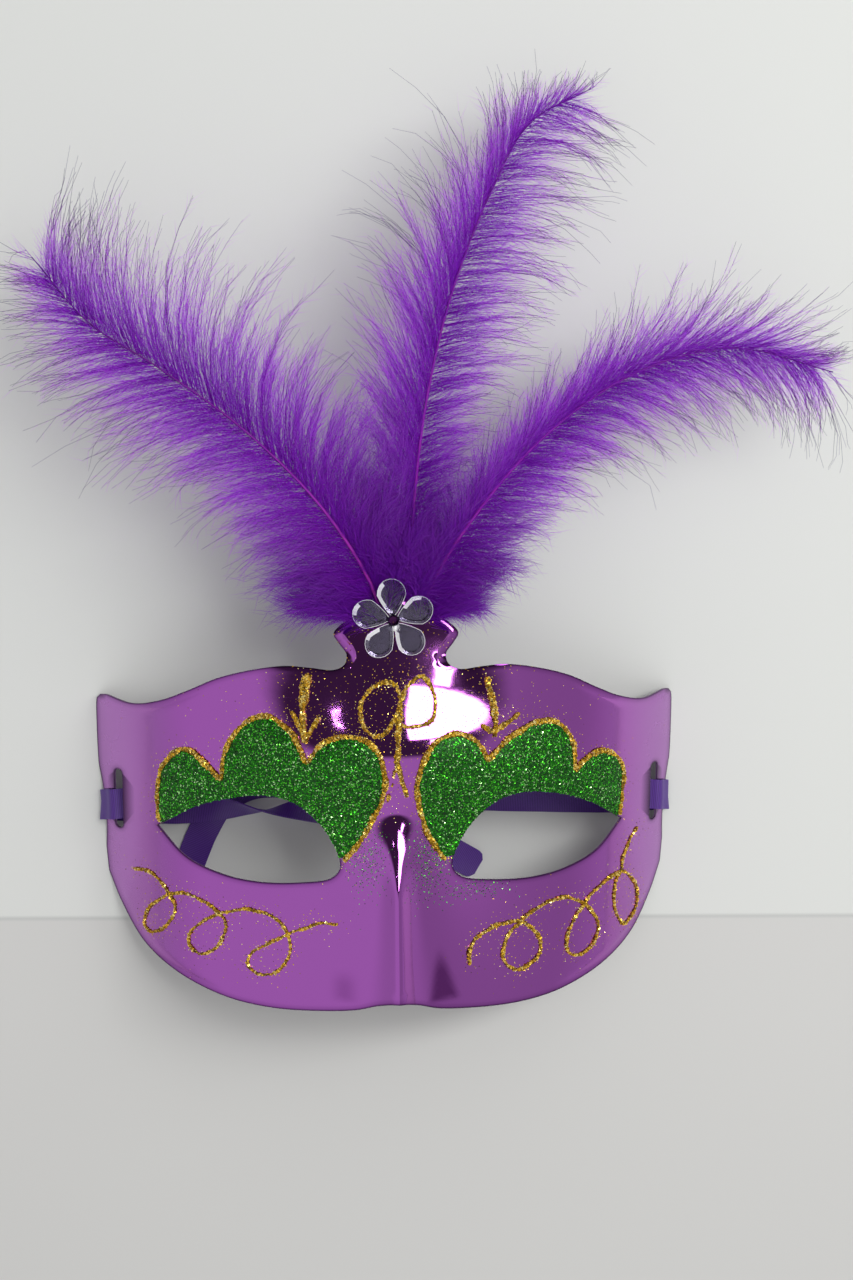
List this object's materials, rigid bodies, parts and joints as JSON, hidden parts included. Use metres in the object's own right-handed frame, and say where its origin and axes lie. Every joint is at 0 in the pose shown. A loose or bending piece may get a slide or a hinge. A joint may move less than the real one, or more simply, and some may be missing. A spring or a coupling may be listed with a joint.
{
  "type": "plumed carnival half mask",
  "caption": "Metallised purple plastic half mask with glitter-glue ornament, a clear flower gem, dyed plumes on its crest and satin ribbon ties through side slots.",
  "frame": {"origin": "middle of the mask's underside as it lies on its side rims, without the loose ties", "axes": "+Z out of the face, away from the rims; +Y from the nose towards the crest and plumes; +X to the viewer's right"},
  "size_m": [0.2408, 0.2652, 0.0565],
  "materials": {
    "metallised_plastic": "gloss",
    "green_glitter": "satin",
    "gold_glitter": "satin",
    "clear_acrylic": "gloss",
    "dyed_feather": "matte",
    "satin_ribbon": "satin"
  },
  "bodies": {
    "root": {"mask_shell": "metallised_plastic", "green_patch_left": "green_glitter", "gold_outline_left": "gold_glitter", "gold_scroll_left": "gold_glitter", "gold_mark_left": "gold_glitter", "green_patch_right": "green_glitter", "gold_outline_right": "gold_glitter", "gold_scroll_right": "gold_glitter", "gold_mark_right": "gold_glitter", "gold_bow": "gold_glitter", "flower_gem": "clear_acrylic", "feather_left": "dyed_feather", "feather_centre": "dyed_feather", "feather_right": "dyed_feather", "ribbon_left": "satin_ribbon", "ribbon_right": "satin_ribbon"}
  },
  "joints": []
}
